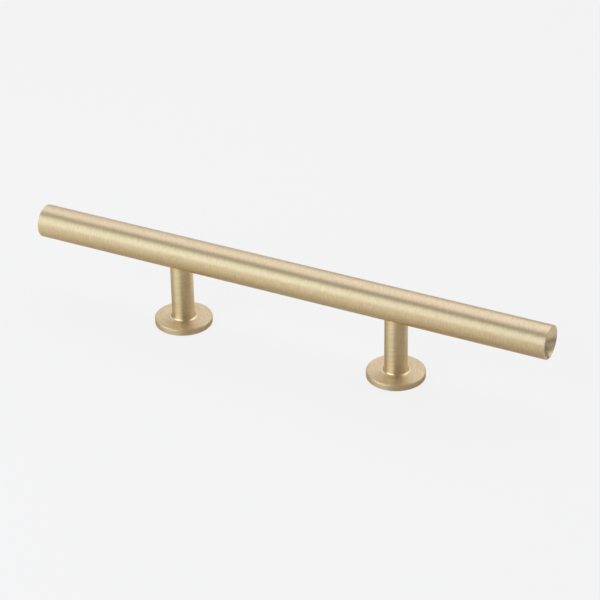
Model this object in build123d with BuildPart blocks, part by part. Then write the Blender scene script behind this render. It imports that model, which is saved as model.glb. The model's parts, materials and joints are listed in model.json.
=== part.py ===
from build123d import *
from math import radians, sqrt, tan
import os

# Overall sizes, in millimetres
bar_length = 177.8
bar_diameter = 10.8
projection = 30.9  # from the door to the front of the bar
post_spacing = 76.2  # between the two mounting screws
post_diameter = 7.4
foot_diameter = 18.8
foot_thickness = 2.1

# Turned edges and dished ends
root_radius = 0.8  # where a post flares into its foot
foot_edge_radius = 0.5  # round the top of the foot
foot_heel_radius = 0.15  # where the foot meets the door
bar_edge_radius = 0.12
dish_rim_width = 0.25  # flat ring round each dished end
dish_angle = 90  # full angle of the cone turned into each end

# Seat of a post in the underside of the bar
seat_clearance = 0.05  # round the post
seat_cover = 0.3  # how far the seat lies beyond a full round
post_top_chamfer = 0.2

# Mounting screw bore, up into each foot
screw_bore = 3.45
screw_mouth = 4.2  # width of the chamfered mouth
drill_point_angle = 118
hole_web = 2.6  # metal left between the two bores of a post

# Headless stud that joins a post to the bar
stud_diameter = 4.1
stud_in_post = 6.5
stud_chamfer = 0.5
stud_end_gap = 0.5  # from either end of the stud to the end of its bore
thread_clearance = 0.05
front_wall = 2.0  # metal left between a stud bore and the front of the bar
hex_key = 2.5
hex_depth = 2.5


def point_length(bore):
    """Length of the cone that a drill leaves at the end of a bore."""
    return bore / 2 / tan(radians(drill_point_angle / 2))


bar_radius = bar_diameter / 2
post_radius = post_diameter / 2
axis_height = projection - bar_radius
bar_underside = axis_height - bar_radius
seat_radius = post_radius + seat_clearance
seat_height = axis_height - sqrt(bar_radius**2 - seat_radius**2) + seat_cover

dish_radius = bar_radius - bar_edge_radius - dish_rim_width
dish_depth = dish_radius / tan(radians(dish_angle / 2))

stud_bore = stud_diameter + 2 * thread_clearance
stud_bore_depth = projection - front_wall - seat_height
stud_in_bar = stud_bore_depth - point_length(stud_bore) - stud_end_gap
stud_bottom = seat_height - stud_in_post
stud_length = stud_in_post + stud_in_bar


def drill(mouth, bore, full_depth):
    """Drill a blind bore down from the mouth plane, with full_depth to the tip of its drill point."""
    straight = full_depth - point_length(bore)
    with Locations(mouth):
        Hole(bore / 2, straight)
    with Locations(mouth.offset(-straight)):
        Cone(
            0,
            bore / 2,
            point_length(bore),
            align=(Align.CENTER, Align.CENTER, Align.MAX),
            mode=Mode.SUBTRACT,
        )


def facing_down(x, height):
    """Plane at a post's axis that looks down, towards the door."""
    return Plane(origin=(x, 0, height), x_dir=(1, 0, 0), z_dir=(0, 0, -1))


def make_bar(post_places):
    """Solid round bar, dished at both ends, with a flat seat and a stud bore for each post."""
    half_length = bar_length / 2
    with BuildPart() as bar:
        with BuildSketch(Plane(origin=(0, 0, axis_height), x_dir=(1, 0, 0), z_dir=(0, -1, 0))):
            with BuildLine():
                Polyline(
                    (0, 0),
                    (half_length - dish_depth, 0),
                    (half_length, dish_radius),
                    (half_length, bar_radius),
                    (0, bar_radius),
                    close=True,
                )
            make_face()
            mirror(about=Plane.YZ)
        revolve(axis=Axis((0, 0, axis_height), (1, 0, 0)))
        rims = bar.edges().filter_by(GeomType.CIRCLE).group_by(SortBy.RADIUS)[-1]
        fillet(rims, bar_edge_radius)
        for x in post_places:
            with Locations(facing_down(x, bar_underside)):
                Hole(seat_radius, seat_height - bar_underside)
            drill(facing_down(x, seat_height), stud_bore, stud_bore_depth)
    return bar


def make_post(x):
    """Turned post with its round foot in one piece, flat on top and bored from both ends."""
    with BuildPart() as post:
        with BuildSketch(Plane((x, 0, 0))):
            Circle(foot_diameter / 2)
        extrude(amount=foot_thickness)
        with BuildSketch(Plane((x, 0, foot_thickness))):
            Circle(post_radius)
        extrude(amount=seat_height - foot_thickness)
        root, top = post.edges().filter_by(GeomType.CIRCLE).group_by(SortBy.RADIUS)[0].sort_by(Axis.Z)
        chamfer(top, post_top_chamfer)
        fillet(root, root_radius)
        heel, rim = post.edges().filter_by(GeomType.CIRCLE).group_by(SortBy.RADIUS)[-1].sort_by(Axis.Z)
        fillet(rim, foot_edge_radius)
        fillet(heel, foot_heel_radius)

        stud_depth = stud_in_post + stud_end_gap + point_length(stud_bore)
        drill(Plane((x, 0, seat_height)), stud_bore, stud_depth)
        screw_depth = seat_height - stud_depth - hole_web
        drill(facing_down(x, 0), screw_bore, screw_depth)
        mouth = post.edges().filter_by(GeomType.CIRCLE).group_by(Axis.Z)[0].sort_by(SortBy.RADIUS)[0]
        chamfer(mouth, (screw_mouth - screw_bore) / 2)
    return post


def make_stud(x):
    """Headless stud with chamfered ends and a hexagon socket in the end that the post covers."""
    with BuildPart() as stud:
        with BuildSketch(Plane((x, 0, stud_bottom))):
            Circle(stud_diameter / 2)
        extrude(amount=stud_length)
        chamfer(stud.edges().filter_by(GeomType.CIRCLE), stud_chamfer)
        with BuildSketch(Plane((x, 0, stud_bottom))):
            RegularPolygon(hex_key / 2, 6, major_radius=False)
        extrude(amount=hex_depth, mode=Mode.SUBTRACT)
    return stud


places = {"left": -post_spacing / 2, "right": post_spacing / 2}

pieces = {"bar": make_bar(places.values())}
for side, x in places.items():
    pieces[f"{side}_post"] = make_post(x)
    pieces[f"{side}_stud"] = make_stud(x)

os.makedirs("parts", exist_ok=True)
for name, piece in pieces.items():
    piece.part.label = name
    export_step(piece.part, f"parts/{name}.step")
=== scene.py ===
"""Satin brass bar pull for a cabinet door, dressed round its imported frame."""

import json
from math import ceil, cos, pi, radians, sin, sqrt, tan

import bpy
from bpy.props import FloatProperty, FloatVectorProperty, IntProperty, PointerProperty
from mathutils import Matrix, Vector


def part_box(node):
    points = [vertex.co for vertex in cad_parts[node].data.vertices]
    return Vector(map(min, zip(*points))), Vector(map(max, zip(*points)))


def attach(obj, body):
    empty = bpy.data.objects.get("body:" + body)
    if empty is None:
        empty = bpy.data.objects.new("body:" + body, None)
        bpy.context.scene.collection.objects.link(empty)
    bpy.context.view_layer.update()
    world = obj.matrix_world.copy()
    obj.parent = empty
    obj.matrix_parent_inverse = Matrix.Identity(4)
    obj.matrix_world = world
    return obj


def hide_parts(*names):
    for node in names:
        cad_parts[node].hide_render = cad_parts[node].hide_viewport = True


bl_info = {
    "name": "Bar cabinet pull",
    "version": (1, 0, 0),
    "blender": (4, 5, 0),
    "location": "3D View > Sidebar > Pull",
    "description": "Turns the pieces of a satin brass bar pull and sets them on a studio floor",
    "category": "Add Mesh",
}

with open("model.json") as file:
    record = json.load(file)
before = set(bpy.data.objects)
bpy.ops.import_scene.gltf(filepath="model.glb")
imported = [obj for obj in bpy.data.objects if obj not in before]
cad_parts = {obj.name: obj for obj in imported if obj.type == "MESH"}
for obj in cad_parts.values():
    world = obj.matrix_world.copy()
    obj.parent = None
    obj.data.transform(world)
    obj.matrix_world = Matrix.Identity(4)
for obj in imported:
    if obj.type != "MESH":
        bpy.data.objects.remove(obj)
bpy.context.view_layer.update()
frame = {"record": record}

MM = 0.001
BODY = "root"
SIDES = ("left", "right")

bar_low, bar_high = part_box("bar")
post_low, post_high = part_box("left_post")
stud_low, stud_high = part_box("left_stud")
mounts = {mount["name"]: mount for mount in frame["record"]["mounts"]}
screw_hole = mounts["left_screw_hole"]["dims"]


def length(name, description, default, least=0.0):
    """A length that a user may change, in metres."""
    return FloatProperty(
        name=name,
        description=description,
        default=default,
        min=least,
        unit="LENGTH",
        subtype="DISTANCE",
        precision=5,
    )


def factor(name, description, default, top=1.0):
    """A plain number that a user may change."""
    return FloatProperty(name=name, description=description, default=default, min=0.0, max=top, precision=3)


def angle(name, description, degrees):
    """An angle that a user may change, given here in degrees."""
    return FloatProperty(
        name=name, description=description, default=radians(degrees), unit="ROTATION", subtype="ANGLE"
    )


def colour(name, description, default):
    """A linear colour that a user may change."""
    return FloatVectorProperty(
        name=name, description=description, default=default, min=0.0, max=1.0, size=3, subtype="COLOR"
    )


class PullSizes(bpy.types.PropertyGroup):
    """Sizes of the turned pieces; the large ones are read from the frame."""

    bar_length: length("Bar length", "From end to end of the bar", bar_high.x - bar_low.x)
    bar_diameter: length("Bar diameter", "Across the round bar", bar_high.z - bar_low.z)
    bar_height: length("Bar height", "Bar's axis above the mounting plane", (bar_high.z + bar_low.z) / 2)
    bar_edge: length("Bar edge", "Radius of the eased edge at each end", 0.12 * MM)
    dish_rim: length("Dish rim", "Flat ring round each dished end", 0.25 * MM)
    dish_angle: angle("Dish angle", "Full angle of the cone in each end", 90)
    post_place: length("Post place", "From the middle to a post's axis", -(post_low.x + post_high.x) / 2)
    post_diameter: length("Post diameter", "Across the post above its foot", 7.4 * MM)
    foot_diameter: length("Foot diameter", "Across the round foot", post_high.x - post_low.x)
    foot_thickness: length("Foot thickness", "Height of the foot's rim", 2.1 * MM)
    foot_edge: length("Foot edge", "Radius of the foot's upper edge", 0.5 * MM)
    foot_heel: length("Foot heel", "Radius of the foot's lower edge", 0.15 * MM)
    root_radius: length("Root radius", "Flare between post and foot", 0.8 * MM)
    seat_height: length("Seat height", "Top of the post, inside the bar", post_high.z)
    seat_clearance: length("Seat clearance", "Gap round the post in its seat", 0.05 * MM)
    post_chamfer: length("Post chamfer", "Eased top edge of the post", 0.2 * MM)
    screw_radius: length("Screw bore", "Radius of the bore before it is tapped", screw_hole["r_mm"] * MM)
    screw_depth: length("Screw thread", "Length of the bore's straight wall", screw_hole["length_mm"] * MM)
    screw_mouth: length("Screw mouth", "Chamfer at the mouth of the screw bore", 0.375 * MM)
    screw_pitch: length("Screw pitch", "Pitch of the mounting screw's thread", 0.794 * MM)
    stud_radius: length("Stud radius", "Root of the stud's thread", (stud_high.x - stud_low.x) / 2)
    stud_bottom: length("Stud bottom", "Lower end of the stud", stud_low.z)
    stud_top: length("Stud top", "Upper end of the stud", stud_high.z)
    stud_chamfer: length("Stud chamfer", "Eased ends of the stud", 0.5 * MM)
    stud_pitch: length("Stud pitch", "Pitch of the stud's thread", 0.8 * MM)
    end_gap: length("End gap", "From the stud to the end of its bore", 0.5 * MM)
    thread_depth: length("Thread depth", "How far a thread is cut beyond its bore", 0.36 * MM)
    thread_clearance: length("Thread clearance", "Gap between the stud and its bore", 0.05 * MM)
    hex_key: length("Hexagon key", "Across the flats of the stud's socket", 2.5 * MM)
    hex_depth: length("Hexagon depth", "Depth of the stud's socket", 2.5 * MM)
    drill_point: angle("Drill point", "Full angle at the end of a drilled bore", 118)
    segments: IntProperty(
        name="Segments", description="Faces round a turned piece", default=160, min=24, max=512
    )


class PullFinish(bpy.types.PropertyGroup):
    """Colours and finishes of the metals."""

    brass: colour("Brass", "Colour of the satin brass", (0.80, 0.66, 0.41))
    brass_roughness: factor("Brass roughness", "Blur of the satin brass", 0.34)
    line_width: length("Line width", "Width of the brushed lines", 0.36 * MM)
    line_tone: factor("Line tone", "How far the brushed lines differ in tone", 0.44)
    fan: factor("Fan", "How far the shine fans out across the brushed lines", 0.6, top=2.0)
    steel: colour("Steel", "Colour of the plated steel", (0.6, 0.6, 0.57))
    steel_roughness: factor("Steel roughness", "Blur of the plated steel", 0.35)


class PullStage(bpy.types.PropertyGroup):
    """Floor, light and camera."""

    floor: colour("Floor", "Colour of the floor", (0.9, 0.9, 0.9))
    paleness: factor("Paleness", "How pale the floor shows beside its shadow", 1.022, top=2.0)
    # Colours and reach of the card, which is painted shade and painted reflection that only the metal sees
    card: colour("Card", "Colour of the painted shadow card under the pull", (0.42, 0.335, 0.245))
    painted_warm_tint: colour("Warmth", "Tint of the card where it is see-through", (1.0, 0.965, 0.88))
    beyond: colour("Beyond", "Colour of the card past the bar's right end", (0.28, 0.28, 0.28))
    card_front: length("Card front", "Where the card begins, in front of the pull", -75 * MM, least=-1.0)
    card_core: length("Card core", "Where its fade from the front ends", 35 * MM, least=-1.0)
    world: colour("World", "Colour of the room around", (0.17, 0.155, 0.145))
    azimuth: angle("Azimuth", "Camera's turn to the right of the front", 27.577)
    elevation: angle("Elevation", "Camera's height above the horizon", 30.622)
    roll: angle("Roll", "Camera's turn about its own line of sight", -1.078)
    distance: length("Distance", "From the camera to the point it looks at", 722.857 * MM)
    lens: factor("Lens", "Focal length in millimetres on a 36 mm sensor", 137.798, top=500.0)
    aim: FloatVectorProperty(
        name="Aim",
        description="Point the camera looks at",
        default=(4.732 * MM, 0.0, 18.842 * MM),
        subtype="XYZ",
    )


class Value:
    """An output socket that takes part in Python expressions."""

    def __init__(self, nodes, socket):
        self.nodes = nodes
        self.socket = socket

    def math(self, operation, *others, first=None):
        """Math node on this value and others, or on another value first and then this one."""
        inputs = (self, *others) if first is None else (first, self)
        return self.nodes.add("ShaderNodeMath", {"operation": operation}, inputs)

    def __add__(self, other):
        return self.math("ADD", other)

    __radd__ = __add__

    def __sub__(self, other):
        return self.math("SUBTRACT", other)

    def __rsub__(self, other):
        return self.math("SUBTRACT", first=other)

    def __mul__(self, other):
        return self.math("MULTIPLY", other)

    __rmul__ = __mul__

    def __truediv__(self, other):
        return self.math("DIVIDE", other)

    def __rtruediv__(self, other):
        return self.math("DIVIDE", first=other)


class Nodes:
    """A node tree that is filled by calls, each of which gives the new node's output."""

    def __init__(self, tree):
        self.tree = tree
        tree.nodes.clear()

    def add(self, kind, settings=None, sockets=(), output=0):
        """New node of a kind, with its settings and the values or links of its sockets."""
        node = self.tree.nodes.new(kind)
        for name, value in (settings or {}).items():
            setattr(node, name, value)
        pairs = sockets.items() if isinstance(sockets, dict) else enumerate(sockets)
        for key, value in pairs:
            if isinstance(value, Value):
                self.tree.links.new(value.socket, node.inputs[key])
            else:
                node.inputs[key].default_value = value
        return Value(self, node.outputs[output]) if node.outputs else None


class Profile:
    """Half section of a turned piece, as radii and heights along its axis, with its threads.

    It runs from the axis below to the axis above, up the outside.
    """

    ROWS_PER_TURN = 10

    def __init__(self):
        self.points = []
        self.grooves = []
        self.turns = []

    def to(self, radius, height, groove=0.0, turns=0.0):
        """Next point, with how far a thread stands out there and how many turns it has made."""
        self.points.append((radius, 0.0, height))
        self.grooves.append(groove)
        self.turns.append(turns)

    def arc(self, radius, height, bend, start, end, steps=8):
        """Round edge about a centre, from one angle to another in degrees."""
        for step in range(steps + 1):
            at = radians(start + (end - start) * step / steps)
            self.to(radius + bend * cos(at), height + bend * sin(at))

    def straight(self, radius, start, end, rows):
        """Plain wall along the axis, divided into rows."""
        for row in range(rows + 1):
            self.to(radius, start + (end - start) * row / rows)

    def thread(self, radius, start, end, depth, pitch, mouth=None):
        """Threaded wall along the axis, which runs out over one turn at each end but an open mouth."""
        step = pitch / self.ROWS_PER_TURN
        low, high = sorted((start, end))
        rows = [low, *(n * step for n in range(int(low / step) + 1, ceil(high / step))), high]
        for height in rows if start < end else reversed(rows):
            run_out = min(abs(height - closed) / pitch for closed in (start, end) if closed != mouth)
            self.to(radius, height, depth * min(1.0, run_out), height / pitch)

    def mesh(self, name):
        """Chain of edges with the threads as attributes."""
        mesh = bpy.data.meshes.new(name)
        mesh.from_pydata(self.points, [(n, n + 1) for n in range(len(self.points) - 1)], [])
        for attribute, values in (("groove", self.grooves), ("turns", self.turns)):
            mesh.attributes.new(attribute, "FLOAT", "POINT").data.foreach_set("value", values)
        return mesh


# A thread's wave is made steeper and cut off flat at root and crest
FLANK_STEEPNESS = 1.6
ROOT_FLAT = 0.3
MERGE_DISTANCE = 1e-7


def lathe_tree():
    """Geometry nodes that spin a profile about Z and cut its threads."""
    tree = bpy.data.node_groups.new("lathe", "GeometryNodeTree")
    for name, kind in (("Profile", "Geometry"), ("Segments", "Int"), ("Material", "Material")):
        tree.interface.new_socket(name, in_out="INPUT", socket_type=f"NodeSocket{kind}")
    tree.interface.new_socket("Turned piece", in_out="OUTPUT", socket_type="NodeSocketGeometry")
    nodes = Nodes(tree)
    given = tree.nodes.new("NodeGroupInput")
    profile, segments, material = (Value(nodes, given.outputs[n]) for n in range(3))

    points = nodes.add("GeometryNodeAttributeDomainSize", {"component": "MESH"}, [profile])
    grid = nodes.add("GeometryNodeMeshGrid", {}, {"Vertices X": points, "Vertices Y": segments + 1})
    index = nodes.add("GeometryNodeInputIndex")
    point = ((index + 0.5) / (segments + 1)).math("FLOOR")
    share = (index - point * (segments + 1)) / segments

    def on_profile(kind, field):
        sockets = {"Geometry": profile, "Value": field, "Index": point}
        return nodes.add("GeometryNodeSampleIndex", {"data_type": kind, "domain": "POINT"}, sockets)

    def attribute(name):
        field = nodes.add("GeometryNodeInputNamedAttribute", {"data_type": "FLOAT"}, {"Name": name})
        return on_profile("FLOAT", field)

    place = on_profile("FLOAT_VECTOR", nodes.add("GeometryNodeInputPosition"))
    radius = nodes.add("ShaderNodeSeparateXYZ", {}, [place])
    height = nodes.add("ShaderNodeSeparateXYZ", {}, [place], output=2)
    wave = (attribute("turns") - share).math("PINGPONG", 0.5) * 2
    flank = nodes.add("ShaderNodeClamp", {}, [wave * FLANK_STEEPNESS - ROOT_FLAT])
    radius = radius + attribute("groove") * flank
    turn = share * (2 * pi)
    sockets = [radius * turn.math("COSINE"), radius * turn.math("SINE"), height]
    position = nodes.add("ShaderNodeCombineXYZ", {}, sockets)
    spun = nodes.add("GeometryNodeSetPosition", {}, {"Geometry": grid, "Position": position})
    sockets = {"Geometry": spun, "Distance": MERGE_DISTANCE}
    closed = nodes.add("GeometryNodeMergeByDistance", {}, sockets)
    outward = nodes.add("GeometryNodeFlipFaces", {}, [closed])
    real = nodes.add("GeometryNodeRealizeInstances", {}, [outward])
    done = nodes.add("GeometryNodeSetMaterial", {}, {"Geometry": real, "Material": material})
    nodes.add("NodeGroupOutput", {}, [done])
    return tree


def plain_mesh(piece):
    """Apply a piece's modifiers and leave a plain mesh."""
    bpy.context.view_layer.update()
    evaluated = piece.evaluated_get(bpy.context.evaluated_depsgraph_get())
    mesh = bpy.data.meshes.new_from_object(evaluated)
    piece.modifiers.clear()
    piece.data = mesh


def turned(name, profile, material, segments, placed):
    """Spin a profile into a piece with the lathe nodes and put it in its place."""
    piece = bpy.data.objects.new(name, profile.mesh(name))
    bpy.context.scene.collection.objects.link(piece)
    tree = bpy.data.node_groups.get("lathe") or lathe_tree()
    inputs = {s.name: s.identifier for s in tree.interface.items_tree if s.in_out == "INPUT"}
    spin = piece.modifiers.new("lathe", "NODES")
    spin.node_group = tree
    spin[inputs["Segments"]] = segments
    spin[inputs["Material"]] = material
    plain_mesh(piece)
    # The grid brings an empty first slot, which would leave cut faces without a metal
    piece.data.materials.pop(index=0)
    piece.data.transform(placed)
    return piece


def cut(piece, *tools):
    """Cut the shapes of the tools out of a piece, and remove the tools."""
    for tool in tools:
        bite = piece.modifiers.new("cut", "BOOLEAN")
        bite.operation = "DIFFERENCE"
        bite.solver = "EXACT"
        bite.object = tool
    plain_mesh(piece)
    for tool in tools:
        bpy.data.objects.remove(tool)


SHARP_EDGE = radians(32)


def smooth(piece):
    """Shade round faces smooth and keep flat ones flat."""
    piece.data.shade_smooth()
    piece.data.set_sharp_from_angle(angle=SHARP_EDGE)
    even = piece.modifiers.new("even", "WEIGHTED_NORMAL")
    even.keep_sharp = True
    plain_mesh(piece)


def join_frame(piece, node):
    """Let a piece stand for its node in the frame."""
    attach(piece, BODY)
    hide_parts(node)


# A straight wall begins this many radii past the start of the rounded edge before it
PAST_EDGE = 2.0
PAST_ROOT = 1.2


def point_length(radius, sizes):
    """Length of the cone that a drill leaves at the end of a bore."""
    return radius / tan(sizes.drill_point / 2)


def stud_bore(profile, sizes, start, end, tip):
    """Tapped bore for a stud from one height to another, closed by its drill point."""
    radius = sizes.stud_radius + sizes.thread_clearance
    profile.thread(radius, start, end, sizes.thread_depth, sizes.stud_pitch, mouth=start)
    profile.to(0.0, tip)


class PULL_OT_bar(bpy.types.Operator):
    """Turn the bar with its dished ends and cut the seats of the posts"""

    bl_idname = "pull.bar"
    bl_label = "Turn the bar"

    def execute(self, context):
        sizes = context.scene.pull_sizes
        radius = sizes.bar_diameter / 2
        half = sizes.bar_length / 2
        dish = radius - sizes.bar_edge - sizes.dish_rim
        apex = half - dish / tan(sizes.dish_angle / 2)
        edge = sizes.bar_edge
        wall = half - edge * PAST_EDGE
        profile = Profile()
        profile.to(0.0, -apex)
        profile.to(dish, -half)
        profile.arc(radius - edge, edge - half, edge, -90, 0)
        profile.straight(radius, -wall, wall, rows=60)
        profile.arc(radius - edge, half - edge, edge, 0, 90)
        profile.to(dish, half)
        profile.to(0.0, apex)
        along_x = Matrix.Translation((0, 0, sizes.bar_height)) @ Matrix.Rotation(pi / 2, 4, "Y")
        brass = brass_material("bar brass", context.scene.pull_finish, along_bar)
        bar = turned("pull_bar", profile, brass, sizes.segments, along_x)
        cut(bar, *(self.seat_tool(sizes, place) for place in (-sizes.post_place, sizes.post_place)))
        smooth(bar)
        join_frame(bar, "bar")
        return {"FINISHED"}

    def seat_tool(self, sizes, place):
        """Shape that a post's seat and its stud bore take out of the bar."""
        below = sizes.bar_height - sizes.bar_diameter
        seat = sizes.post_diameter / 2 + sizes.seat_clearance
        bore = sizes.stud_radius + sizes.thread_clearance
        top = sizes.stud_top + sizes.end_gap
        profile = Profile()
        profile.to(0.0, below)
        profile.to(seat, below)
        profile.to(seat, sizes.seat_height)
        stud_bore(profile, sizes, sizes.seat_height, top, top + point_length(bore, sizes))
        return turned("seat_tool", profile, None, sizes.segments, Matrix.Translation((place, 0, 0)))


class PULL_OT_posts(bpy.types.Operator):
    """Turn the two posts with their feet and tapped bores"""

    bl_idname = "pull.posts"
    bl_label = "Turn the posts"

    def execute(self, context):
        sizes = context.scene.pull_sizes
        profile = self.section(sizes)
        brass = brass_material("post brass", context.scene.pull_finish, round_post)
        for side, place in zip(SIDES, (-sizes.post_place, sizes.post_place)):
            at = Matrix.Translation((place, 0, 0))
            post = turned(f"{side}_pull_post", profile, brass, sizes.segments, at)
            smooth(post)
            join_frame(post, f"{side}_post")
        return {"FINISHED"}

    def section(self, sizes):
        """Half section of a post: down the screw bore, up the outside and down the stud bore."""
        screw = sizes.screw_radius
        mouth = sizes.screw_mouth
        screw_top = mouth + sizes.screw_depth
        foot = sizes.foot_diameter / 2
        edge = sizes.foot_edge
        heel = sizes.foot_heel
        foot_top = sizes.foot_thickness
        post = sizes.post_diameter / 2
        root = sizes.root_radius
        seat = sizes.seat_height
        chamfer = sizes.post_chamfer
        bore = sizes.stud_radius + sizes.thread_clearance
        bore_end = sizes.stud_bottom - sizes.end_gap
        profile = Profile()
        profile.to(0.0, screw_top + point_length(screw, sizes))
        profile.thread(screw, screw_top, mouth, sizes.thread_depth, sizes.screw_pitch, mouth=mouth)
        profile.to(screw + mouth, 0.0)
        profile.arc(foot - heel, heel, heel, -90, 0)
        profile.arc(foot - edge, foot_top - edge, edge, 0, 90)
        profile.arc(post + root, foot_top + root, root, 270, 180)
        profile.straight(post, foot_top + root * PAST_ROOT, seat - chamfer, rows=10)
        profile.to(post - chamfer, seat)
        stud_bore(profile, sizes, seat, bore_end, bore_end - point_length(bore, sizes))
        return profile


class PULL_OT_studs(bpy.types.Operator):
    """Cut the two threaded studs with their hexagon sockets"""

    bl_idname = "pull.studs"
    bl_label = "Cut the studs"

    def execute(self, context):
        sizes = context.scene.pull_sizes
        radius = sizes.stud_radius
        chamfer = sizes.stud_chamfer
        profile = Profile()
        profile.to(0.0, sizes.stud_bottom)
        profile.to(radius - chamfer, sizes.stud_bottom)
        low, high = sizes.stud_bottom + chamfer, sizes.stud_top - chamfer
        profile.thread(radius, low, high, sizes.thread_depth, sizes.stud_pitch)
        profile.to(radius - chamfer, sizes.stud_top)
        profile.to(0.0, sizes.stud_top)
        steel = steel_material("stud steel", context.scene.pull_finish)
        for side, place in zip(SIDES, (-sizes.post_place, sizes.post_place)):
            at = Matrix.Translation((place, 0, 0))
            stud = turned(f"{side}_threaded_stud", profile, steel, sizes.segments // 2, at)
            cut(stud, self.key_tool(sizes, at))
            smooth(stud)
            join_frame(stud, f"{side}_stud")
        return {"FINISHED"}

    def key_tool(self, sizes, at):
        """Hexagon that the key's socket takes out of a stud."""
        corner = sizes.hex_key / sqrt(3)
        top = sizes.stud_bottom + sizes.hex_depth
        profile = Profile()
        profile.to(0.0, sizes.stud_bottom - sizes.hex_depth)
        profile.to(corner, sizes.stud_bottom - sizes.hex_depth)
        profile.to(corner, top)
        profile.to(0.0, top)
        return turned("key_tool", profile, None, 6, at)


# Tilts of the shine across the brushed lines, with their weights. The straight one comes last and so is
# mixed in outermost, because an export to a single shader keeps that one
FAN = ((-1.0, 1.0), (1.0, 1.0), (-0.5, 2.0), (0.5, 2.0), (0.0, 2.5))

# How much less the shine fans out where a piece is only turned
TURNED_SHARE = 0.8

# How much less blurred the dishes and the posts' roots are, and how much more the feet
DISH_GLOSS = 0.1
ROOT_GLOSS = 0.05
FOOT_BLUR = 0.12
FOOT_MARGIN = 0.01 * MM

# Length of a brushed line, and how far the lines differ in blur
LINE_REACH = 1.6 * MM
LINE_BLUR = 0.13


def along_bar(x, y, z):
    """Brushing of the bar.

    Gives how far along a point lies, the way that the line there runs, where the bar is only turned, and its
    gloss.
    """
    sizes = bpy.context.scene.pull_sizes
    height = z - sizes.bar_height
    radius = (y * y + height * height).math("SQRT")
    dish = radius.math("LESS_THAN", sizes.bar_diameter / 2 - sizes.bar_edge)
    return x + x.math("SIGN") * radius, (0.0, 0.0 - height, y), dish, dish * DISH_GLOSS


def round_post(x, y, z):
    """Brushing of a post, in the same four values."""
    sizes = bpy.context.scene.pull_sizes
    across = x - x.math("SIGN") * sizes.post_place
    radius = (across * across + y * y).math("SQRT")
    low = z.math("LESS_THAN", sizes.foot_thickness + sizes.root_radius)
    inner = radius.math("LESS_THAN", sizes.post_diameter / 2 + sizes.root_radius)
    root = low * inner
    foot = z.math("LESS_THAN", sizes.foot_thickness + FOOT_MARGIN) * (1 - inner)
    return radius - z, (0.0 - y, across, 0.0), root, root * ROOT_GLOSS - foot * FOOT_BLUR


def new_material(name):
    """Empty material and its nodes."""
    material = bpy.data.materials.new(name)
    material.use_nodes = True
    return material, Nodes(material.node_tree)


def brass_material(name, finish, brushing):
    """Satin brass; fine lines run round each turned piece, and the shine fans out across them."""
    material, nodes = new_material(name)
    place = nodes.add("ShaderNodeTexCoord", output="Object")
    x, y, z = (nodes.add("ShaderNodeSeparateXYZ", {}, [place], output=n) for n in range(3))
    run, way, turned_only, gloss = brushing(x, y, z)
    brushed = 1 - turned_only * TURNED_SHARE

    def vector(operation, *values, **sockets):
        sockets = {**dict(enumerate(values)), **sockets}
        return nodes.add("ShaderNodeVectorMath", {"operation": operation}, sockets)

    x, y, z = (value * (1 / LINE_REACH) for value in (x, y, z))
    spot = nodes.add("ShaderNodeCombineXYZ", {}, [run * (1 / finish.line_width) + x, y, z])
    sockets = {"Vector": spot, "Scale": 1.0, "Detail": 2.0}
    line = nodes.add("ShaderNodeTexNoise", {"noise_dimensions": "3D"}, sockets) - 0.5
    brass = vector("SCALE", tuple(finish.brass), Scale=1 + line * finish.line_tone)
    rough = finish.brass_roughness - gloss - line * LINE_BLUR
    face = nodes.add("ShaderNodeNewGeometry", output="Normal")
    way = vector("NORMALIZE", nodes.add("ShaderNodeCombineXYZ", {}, list(way)))
    across = vector("CROSS_PRODUCT", way, face)

    shader, total = None, 0.0
    for tilt, weight in FAN:
        sockets = {"Base Color": brass, "Metallic": 1.0, "Roughness": rough}
        if tilt:
            lean = vector("SCALE", across, Scale=brushed * (tilt * finish.fan))
            sockets["Normal"] = vector("NORMALIZE", vector("ADD", face, lean))
        part = nodes.add("ShaderNodeBsdfPrincipled", {}, sockets)
        total += weight
        if shader is not None:
            part = nodes.add("ShaderNodeMixShader", {}, [weight / total, shader, part])
        shader = part
    nodes.add("ShaderNodeOutputMaterial", {}, [shader])
    return material


CLOUD_SCALE = 900.0
CLOUD_TONE = 0.2
CLOUD_BLUR = 0.2


def steel_material(name, finish):
    """Plated steel with a faint cloudy tone."""
    material, nodes = new_material(name)
    place = nodes.add("ShaderNodeTexCoord", output="Object")
    sockets = {"Vector": place, "Scale": CLOUD_SCALE, "Detail": 3.0}
    cloud = nodes.add("ShaderNodeTexNoise", {}, sockets) - 0.5
    sockets = {0: tuple(finish.steel), "Scale": 1 + cloud * CLOUD_TONE}
    steel = nodes.add("ShaderNodeVectorMath", {"operation": "SCALE"}, sockets)
    rough = finish.steel_roughness + cloud * CLOUD_BLUR
    sockets = {"Base Color": steel, "Metallic": 1.0, "Roughness": rough}
    shader = nodes.add("ShaderNodeBsdfPrincipled", {}, sockets)
    nodes.add("ShaderNodeOutputMaterial", {}, [shader])
    return material


def direction(azimuth, elevation):
    """Unit vector from the pull; azimuth 0 is the front and turns towards +X."""
    return Vector((sin(azimuth) * cos(elevation), -cos(azimuth) * cos(elevation), sin(elevation)))


# Soft boxes: name, distance in metres, then azimuth, elevation, width and height as seen from the pull and
# spread, all in degrees, then level and tint
LAMPS = (
    ("key lamp", 0.45, -29, 26, 68, 50, 110, 0.725, (0.965, 1.055, 1.17)),
    ("back lamp", 1.2, 180, 56, 110, 82, 130, 0.59, (0.95, 0.96, 1.12)),
    ("side lamp", 1.2, -95, 35, 50, 50, 180, 0.4, (1.0, 0.98, 1.0)),
    ("end lamp", 1.2, 115, 36, 70, 26, 180, 0.5, (1.0, 0.97, 0.97)),
    ("low lamp", 1.2, 75, 8, 80, 18, 180, 0.27, (1.0, 0.95, 1.2)),
)

# Share of the floor that shows pale whatever light falls on it; the rest keeps the shadow
PALE_SHARE = 0.88
FLOOR_REACH = 4.0
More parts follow.
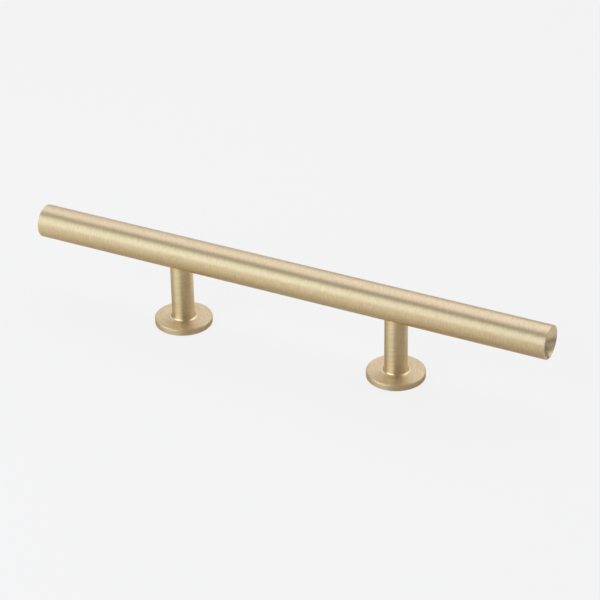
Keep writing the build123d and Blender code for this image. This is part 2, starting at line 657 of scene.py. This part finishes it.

# The card is painted shade that only the metal sees: it stands in for the floor's shadow round the pull and
# for darker surroundings past the bar's right end
# Size of the card, and where each of its parts begins and is whole, along X or, for its back, along Y
CARD_LEFT_END, CARD_RIGHT_END, CARD_REACH = -0.3, 2.0, 0.8
CARD_HEIGHT = 0.1 * MM
CARD_BACK = (25 * MM, 0.0)
CARD_LEFT = (-150 * MM, -80 * MM)
CARD_RIGHT = (110 * MM, 75 * MM)
CARD_SHADE = (20 * MM, 100 * MM)
CARD_BEYOND = (100 * MM, 220 * MM)
CARD_GREY = (75 * MM, 105 * MM)
LEAST_SHADE, MORE_SHADE = 0.04, 0.32

SENSOR_WIDTH = 36.0


def flat_sheet(name, left, right, reach, height, material):
    """Flat rectangle that lies on the stage."""
    corners = [(left, -reach, height), (right, -reach, height), (right, reach, height), (left, reach, height)]
    mesh = bpy.data.meshes.new(name)
    mesh.from_pydata(corners, [], [(0, 1, 2, 3)])
    mesh.materials.append(material)
    sheet = bpy.data.objects.new(name, mesh)
    bpy.context.scene.collection.objects.link(sheet)
    return sheet


class PULL_OT_stage(bpy.types.Operator):
    """Set the floor, the light and the camera"""

    bl_idname = "pull.stage"
    bl_label = "Set the stage"

    SEEING = ("Camera", "Glossy", "Transmission")

    def execute(self, context):
        stage = context.scene.pull_stage
        self.add_floor(stage)
        self.add_card(stage)
        for lamp in LAMPS:
            self.add_lamp(stage, *lamp)
        self.set_world(context.scene, stage)
        self.add_camera(context.scene, stage)
        context.scene.view_settings.view_transform = "Standard"
        return {"FINISHED"}

    def add_floor(self, stage):
        floor = flat_sheet("floor", -FLOOR_REACH, FLOOR_REACH, FLOOR_REACH, 0.0, self.paper(stage))

    def paper(self, stage):
        """Pale paper that keeps a faint shadow; the metal sees it as pale as the camera does."""
        material, nodes = new_material("floor paper")
        rays = [nodes.add("ShaderNodeLightPath", output=f"Is {kind} Ray") for kind in self.SEEING]
        seen = nodes.add("ShaderNodeClamp", {}, [rays[0] + rays[1] + rays[2]])
        matt = nodes.add("ShaderNodeBsdfDiffuse", {}, {"Color": (*stage.floor, 1.0)})
        sockets = {"Color": (*stage.floor, 1.0), "Strength": stage.paleness}
        pale = nodes.add("ShaderNodeEmission", {}, sockets)
        shader = nodes.add("ShaderNodeMixShader", {}, [seen * PALE_SHARE, matt, pale])
        nodes.add("ShaderNodeOutputMaterial", {}, [shader])
        return material

    def add_card(self, stage):
        """Painted shadow card under the pull, which only the metal sees: painted shade in place of the
        floor's shadow.
        """
        painted_shade = self.painted_shade(stage)
        card = flat_sheet("painted shadow card", CARD_LEFT_END, CARD_RIGHT_END, CARD_REACH, CARD_HEIGHT, painted_shade)
        card.visible_camera = False
        card.visible_diffuse = False
        card.visible_shadow = False

    def painted_shade(self, stage):
        """Painted shade that fades out towards the card's edges, warm by the pull and grey past its right
        end.
        """
        material, nodes = new_material("card felt")
        place = nodes.add("ShaderNodeTexCoord", output="Object")
        x, y = (nodes.add("ShaderNodeSeparateXYZ", {}, [place], output=n) for n in range(2))

        def fade(value, clear, whole):
            sockets = {"Value": value, "From Min": clear, "From Max": whole}
            return nodes.add("ShaderNodeMapRange", {"interpolation_type": "SMOOTHSTEP"}, sockets)

        # Cover of the painted shade: densest under the pull, a thin shade that grows to the right, and whole
        # far past the bar's right end
        core = fade(y, stage.card_front, stage.card_core) * fade(y, *CARD_BACK)
        side = fade(x, *CARD_LEFT) * fade(x, *CARD_RIGHT)
        shade = fade(x, *CARD_SHADE) * MORE_SHADE + LEAST_SHADE
        beyond = fade(x, *CARD_BEYOND)
        cover = 1 - (1 - core * side) * (1 - shade) * (1 - beyond)
        grey = fade(x, *CARD_GREY)

        def blend(kind, near, far):
            near, far = (nodes.add(kind, {}, {"Color": (*tint, 1.0)}) for tint in (near, far))
            return nodes.add("ShaderNodeMixShader", {}, [grey, near, far])

        # The see-through part paints a warm tint into the floor's reflection; the dense part is painted shade
        clear = blend("ShaderNodeBsdfTransparent", stage.painted_warm_tint, (1.0, 1.0, 1.0))
        dense = blend("ShaderNodeBsdfDiffuse", stage.card, stage.beyond)
        shader = nodes.add("ShaderNodeMixShader", {}, [cover, clear, dense])
        nodes.add("ShaderNodeOutputMaterial", {}, [shader])
        return material

    def add_lamp(self, stage, name, distance, azimuth, elevation, width, height, spread, level, tint):
        lamp = bpy.data.lights.new(name, "AREA")
        lamp.shape = "RECTANGLE"
        lamp.size = 2 * distance * tan(radians(width / 2))
        lamp.size_y = 2 * distance * tan(radians(height / 2))
        lamp.energy = level * pi * lamp.size * lamp.size_y
        lamp.spread = radians(spread)
        lamp.color = tint
        holder = bpy.data.objects.new(name, lamp)
        way = direction(radians(azimuth), radians(elevation))
        holder.location = Vector(stage.aim) + way * distance
        holder.rotation_euler = way.to_track_quat("Z", "Y").to_euler()
        holder.visible_camera = False
        bpy.context.scene.collection.objects.link(holder)

    def set_world(self, scene, stage):
        scene.world = bpy.data.worlds.new("studio")
        scene.world.use_nodes = True
        nodes = Nodes(scene.world.node_tree)
        air = nodes.add("ShaderNodeBackground", {}, {"Color": (*stage.world, 1.0), "Strength": 1.0})
        nodes.add("ShaderNodeOutputWorld", {}, [air])

    def add_camera(self, scene, stage):
        camera = bpy.data.objects.new("camera", bpy.data.cameras.new("camera"))
        camera.data.lens = stage.lens
        camera.data.sensor_width = SENSOR_WIDTH
        camera.data.clip_start = 0.01
        back = direction(stage.azimuth, stage.elevation)
        turn = back.to_track_quat("Z", "Y").to_matrix().to_4x4() @ Matrix.Rotation(stage.roll, 4, "Z")
        camera.matrix_world = Matrix.Translation(Vector(stage.aim) + back * stage.distance) @ turn
        scene.collection.objects.link(camera)
        scene.camera = camera


class PULL_PT_panel(bpy.types.Panel):
    """Sizes, finishes and steps of the pull"""

    bl_idname = "PULL_PT_panel"
    bl_label = "Bar cabinet pull"
    bl_space_type = "VIEW_3D"
    bl_region_type = "UI"
    bl_category = "Pull"

    def draw(self, context):
        for operator in OPERATORS:
            self.layout.operator(operator.bl_idname)
        for group in GROUPS:
            values = getattr(context.scene, group)
            box = self.layout.box()
            for name in values.__annotations__:
                box.prop(values, name)


GROUPS = {"pull_sizes": PullSizes, "pull_finish": PullFinish, "pull_stage": PullStage}
OPERATORS = (PULL_OT_bar, PULL_OT_posts, PULL_OT_studs, PULL_OT_stage)
CLASSES = (*GROUPS.values(), *OPERATORS, PULL_PT_panel)


def register():
    for item in CLASSES:
        bpy.utils.register_class(item)
    for name, group in GROUPS.items():
        setattr(bpy.types.Scene, name, PointerProperty(type=group))


def unregister():
    for name in GROUPS:
        delattr(bpy.types.Scene, name)
    for item in reversed(CLASSES):
        bpy.utils.unregister_class(item)


def main():
    register()
    bpy.ops.pull.bar()
    bpy.ops.pull.posts()
    bpy.ops.pull.studs()
    bpy.ops.pull.stage()


if __name__ == "__main__":
    main()
